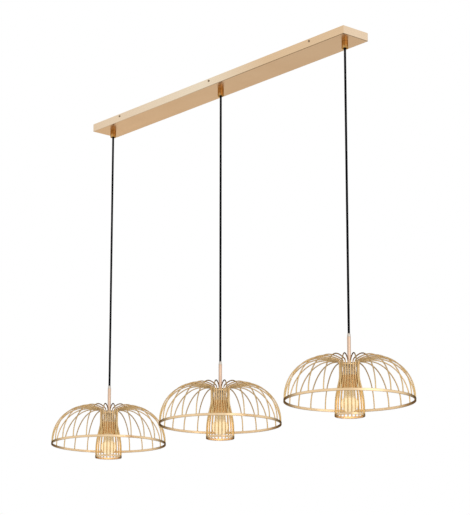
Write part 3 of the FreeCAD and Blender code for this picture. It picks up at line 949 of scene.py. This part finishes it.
def bands():
    """Rim band and the ring at the bell's mouth."""
    softened = 0.0004
    rim = band("rim_band", RIM_RADIUS, 0.172, -0.0035, 0.0035, softened, 180)
    on_each_shade(rim, ["rim_ring"], "shade_gold", "band_gold")
    ring = band("bell_band", 0.0404, 0.0374, -0.043, -0.037, softened, 96)
    on_each_shade(ring, ["bell_ring"], "shade_gold", "band_gold")


def stems():
    """Stem tubes with their pale tips."""
    tube_top = STEM_TOP - 0.009
    plug_end = tube_top - 0.006
    hair_gap = 0.00015  # between the tube and the tip that it turns on
    tube, plug, bore = 0.0048, 0.0033, 0.0020
    stem = band("stem_tube", tube, 0.0034, 0.080, tube_top, 0.0002, 48)
    on_each_shade(stem, ["stem"], "shade_gold", "stem_gold")
    rings = [
        (plug, plug_end),
        (plug, tube_top + hair_gap),
        (0.0047, tube_top + hair_gap),
        (tube, tube_top + 0.0004),
        (0.0039, STEM_TOP - 0.0006),
        (0.0036, STEM_TOP),
        (0.0024, STEM_TOP),
        (bore, STEM_TOP - 0.0006),
        (bore, plug_end),
        (plug, plug_end),
    ]
    tip = turned("stem_tip_cone", rings, 48)
    on_each_shade(tip, ["stem_tip"], "tip_finish", body="tip")


def arc(radius, reach, height, rise, angles):
    """Points on an ellipse about a (radius, height), at angles in degrees."""
    points = []
    for degrees in angles:
        angle = math.radians(degrees)
        points.append((radius + reach * math.cos(angle), height + rise * math.sin(angle)))
    return points


def thread(start, pitch, turns, profile):
    """Rings of a thread, from the (radius, rise) points of one turn."""
    return [
        (radius, start + pitch * turn + rise) for turn in range(turns) for radius, rise in profile
    ]


def lampholders():
    """Cap, skirt, insert and contacts of the lampholders."""
    cap_low, cap_high, wall = 0.066, 0.0895, 0.002
    dome = [(0.0175, cap_low), (0.0195, cap_low)]
    dome += arc(0.0090, 0.0105, cap_low, cap_high - cap_low, range(10, 91, 10))
    dome += [(0.0050, cap_high), (0.0050, cap_high - wall)]
    dome += arc(0.0090, 0.0085, cap_low, cap_high - cap_low - wall, range(90, 9, -20))
    dome.append((0.0175, cap_low))
    on_each_shade(turned("holder_dome", dome, 64), ["holder_cap"], "holder_white")

    skirt_low, skirt_sides = 0.030, 96
    inside, edge, face = 0.0178, 0.0196, 0.0200
    skirt_rings = [
        (inside, skirt_low),
        (edge, skirt_low),
        (face, 0.0306),
        (face, 0.034),
        (edge, 0.0345),
        (edge, 0.0365),
        (face, 0.037),
        (face, 0.0652),
        (edge, cap_low),
        (inside, cap_low),
        (inside, skirt_low),
    ]
    skirt = turned("holder_skirt", skirt_rings, skirt_sides)
    flute_low, flute_share = 0.0369, 0.972
    for vertex in skirt.data.vertices:
        share_of_turn = math.atan2(vertex.co.y, vertex.co.x) / (2 * math.pi)
        on_face = math.hypot(vertex.co.x, vertex.co.y) > 0.0199 and vertex.co.z > flute_low
        if on_face and round(share_of_turn * skirt_sides) % 3 == 0:
            vertex.co.x *= flute_share
            vertex.co.y *= flute_share
    on_each_shade(skirt, ["holder_shell"], "holder_bronze")

    insert_low = 0.058
    insert_rings = [
        (0.0150, insert_low),
        (0.0174, insert_low),
        (0.01775, 0.0584),
        (0.01775, 0.0656),
        (0.0174, cap_low),
        (0.0150, cap_low),
    ]
    insert = turned("holder_core", insert_rings, 64)
    on_each_shade(insert, ["holder_insert"], "holder_ceramic")

    outer, inner, shell_low = 0.0139, 0.0134, 0.036
    profile = ((outer, 0), (0.01365, 0.0009), (0.0136, 0.0017), (outer, 0.0026))
    shell = [(outer, shell_low), *thread(0.0365, 0.0035, 6, profile)]
    shell += [(outer, insert_low), (inner, insert_low), (inner, shell_low), (outer, shell_low)]
    screw_shell = turned("screw_shell", shell, 64)
    contact_rings = [(0.0035, insert_low), (0.0035, 0.0562), (0.0028, 0.0555), (0, 0.0555)]
    contact = turned("contact", contact_rings, 24)
    contacts = join([screw_shell, contact], "screw_shell")
    on_each_shade(contacts, ["holder_contacts"], "terminal_brass")


def lamps():
    """Opal lamps with threaded caps."""
    middle, ball = -0.009, 0.0225
    outside = [(0.0138, 0.033), (0.0138, 0.0106), (0.0141, 0.0092), (0.0151, 0.0077)]
    outside += arc(0, ball, middle, -ball, range(-40, 90, 8))
    outside.append((0, middle - ball))
    glass = turned("opal_bulb", outside, 64)
    on_each_shade(glass, ["lamp_glass"], "lamp_opal", body="lamp")
    profile = ((0.0132, 0), (0.0126, 0.0010), (0.0124, 0.0018), (0.0130, 0.0030))
    cap = [(0.0128, 0.0330), (0.0132, 0.0335), *thread(0.0345, 0.0038, 4, profile)]
    cap += [
        (0.0128, 0.0505),
        (0.0098, 0.0525),
        (0.0060, 0.0532),
        (0.0045, 0.0534),
        (0.0045, 0.0546),
        (0.0030, 0.0552),
        (0, 0.0552),
    ]
    on_each_shade(turned("lamp_screw_cap", cap, 64), ["lamp_cap"], "lamp_metal", body="lamp")


def dress_solids():
    """Finishes for the solids whose own shape shows."""
    finishes = {
        "canopy_shell": "canopy_finish",
        "ceiling_bracket": "bracket_zinc",
        "grip_nuts": "bracket_zinc",
        "terminal_strip": "terminal_plastic",
        "terminal_screws": "terminal_brass",
        "supply_grommet": "grommet_rubber",
        "earth_screw": "terminal_brass",
    }
    for side in SIDES:
        finishes[f"neck_plate_{side}"] = "plate_gold"
        finishes[f"stem_nut_{side}"] = "bracket_zinc"
    for node, name in finishes.items():
        coat(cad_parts[node], name)


# Studio


def seen_share(tree, plain, mirrored, direct):
    """One number for soft light, one for what metal and glass show and one for the camera."""
    path = tree.nodes.new("ShaderNodeLightPath")
    glossy, through = path.outputs["Is Glossy Ray"], path.outputs["Is Transmission Ray"]
    reflected = maths(tree, "MAXIMUM", glossy, through)
    share = spread(tree, reflected, 0.0, 1.0, plain, mirrored)
    seen = tree.nodes.new("ShaderNodeMix")
    seen.data_type = "FLOAT"
    tree.links.new(path.outputs["Is Camera Ray"], seen.inputs[0])
    tree.links.new(share, seen.inputs[2])
    seen.inputs[3].default_value = direct
    return seen.outputs[0]


def studio_world():
    """White to the camera and in metal and glass, and a soft light.

    In metal alone, the wall on the far side and the part overhead are dimmer.
    """
    world = bpy.data.worlds.new("studio")
    bpy.context.scene.world = world
    world.use_nodes = True
    tree = world.node_tree
    background = tree.nodes["Background"]
    background.inputs["Color"].default_value = (1, 1, 1, 1)
    path = tree.nodes.new("ShaderNodeLightPath")
    direction = axes(tree, tree.nodes.new("ShaderNodeTexCoord").outputs["Generated"])
    to_wall = maths(
        tree,
        "ADD",
        product(tree, direction["X"], math.cos(DIM_WALL_ANGLE)),
        product(tree, direction["Y"], math.sin(DIM_WALL_ANGLE)),
    )
    wall = spread(tree, to_wall, 0.22, 0.70)
    above = spread(tree, direction["Z"], -0.12, 0.0)
    ceiling = spread(tree, direction["Z"], 0.45, 0.95, 0.0, 0.65)
    dimmed = maths(tree, "MAXIMUM", product(tree, wall, above), ceiling)
    dim = product(tree, dimmed, path.outputs["Is Glossy Ray"])
    soft_light, white, dim_level = 0.72, 1.0, 0.28
    plain = seen_share(tree, soft_light, white, white)
    level = product(tree, plain, spread(tree, dim, 0.0, 1.0, 1.0, dim_level))
    tree.links.new(level, background.inputs["Strength"])


def studio_floor():
    """Floor far below, that keeps a soft shadow and is clear from underneath.

    It is a mid tone, lifted to pale for the camera, and towards its edge in metal and glass.
    """
    bpy.ops.object.select_all(action="DESELECT")
    bpy.ops.mesh.primitive_plane_add(size=12, location=(0, 0, FLOOR_Z))
    floor = bpy.context.object
    floor.name = "studio_floor"
    material = bpy.data.materials.new("pale_floor")
    material.use_nodes = True
    tree = material.node_tree
    shader = tree.nodes["Principled BSDF"]
    shader.inputs["Base Color"].default_value = (0.50, 0.49, 0.48, 1)
    shader.inputs["Roughness"].default_value = 0.9
    shader.inputs["Specular IOR Level"].default_value = 0.0
    lift = tree.nodes.new("ShaderNodeEmission")
    reach = tree.nodes.new("ShaderNodeVectorMath")
    reach.operation = "LENGTH"
    tree.links.new(tree.nodes.new("ShaderNodeTexCoord").outputs["Object"], reach.inputs[0])
    outward = spread(tree, reach.outputs["Value"], 1.5, 5.0, 0.0, 0.38)
    tree.links.new(seen_share(tree, 0.0, outward, 0.60), lift.inputs["Strength"])
    both = tree.nodes.new("ShaderNodeAddShader")
    tree.links.new(shader.outputs[0], both.inputs[0])
    tree.links.new(lift.outputs[0], both.inputs[1])
    clear = tree.nodes.new("ShaderNodeBsdfTransparent")
    sides = tree.nodes.new("ShaderNodeMixShader")
    facing = tree.nodes.new("ShaderNodeNewGeometry")
    tree.links.new(facing.outputs["Backfacing"], sides.inputs[0])
    tree.links.new(both.outputs[0], sides.inputs[1])
    tree.links.new(clear.outputs[0], sides.inputs[2])
    tree.links.new(sides.outputs[0], tree.nodes["Material Output"].inputs["Surface"])
    floor.data.materials.append(material)


def softbox(name, place, power, mirrored=True):
    """Square area light aimed halfway down the cords, and mirrored in metal or not."""
    aim = Vector((0, 0, -0.5))
    lamp = bpy.data.lights.new(name, "AREA")
    lamp.shape = "SQUARE"
    lamp.size = 3.0
    lamp.energy = power
    holder = bpy.data.objects.new(name, lamp)
    bpy.context.scene.collection.objects.link(holder)
    holder.location = place
    holder.rotation_euler = (aim - Vector(place)).to_track_quat("-Z", "Y").to_euler()
    holder.visible_glossy = mirrored


def studio_lights():
    """Large soft lights: a key from the camera's left, a fill from its right and one high behind.

    The key doesn't show in metal. There it adds to the white wall behind it, and the canopy's
    side would turn pure white from the front.
    """
    softbox("key", (0.6, -4.2, 0.6), 34, mirrored=False)
    softbox("fill", (4.6, -0.4, -0.6), 22)
    softbox("high", (-1.6, 2.0, 2.6), 24)


make_camera()
hanging_cords()
wiring()
canopy_screws()
grips()
ribs()
bands()
stems()
lampholders()
lamps()
dress_solids()
studio_world()
studio_floor()
studio_lights()

bpy.context.scene.view_settings.view_transform = "Standard"
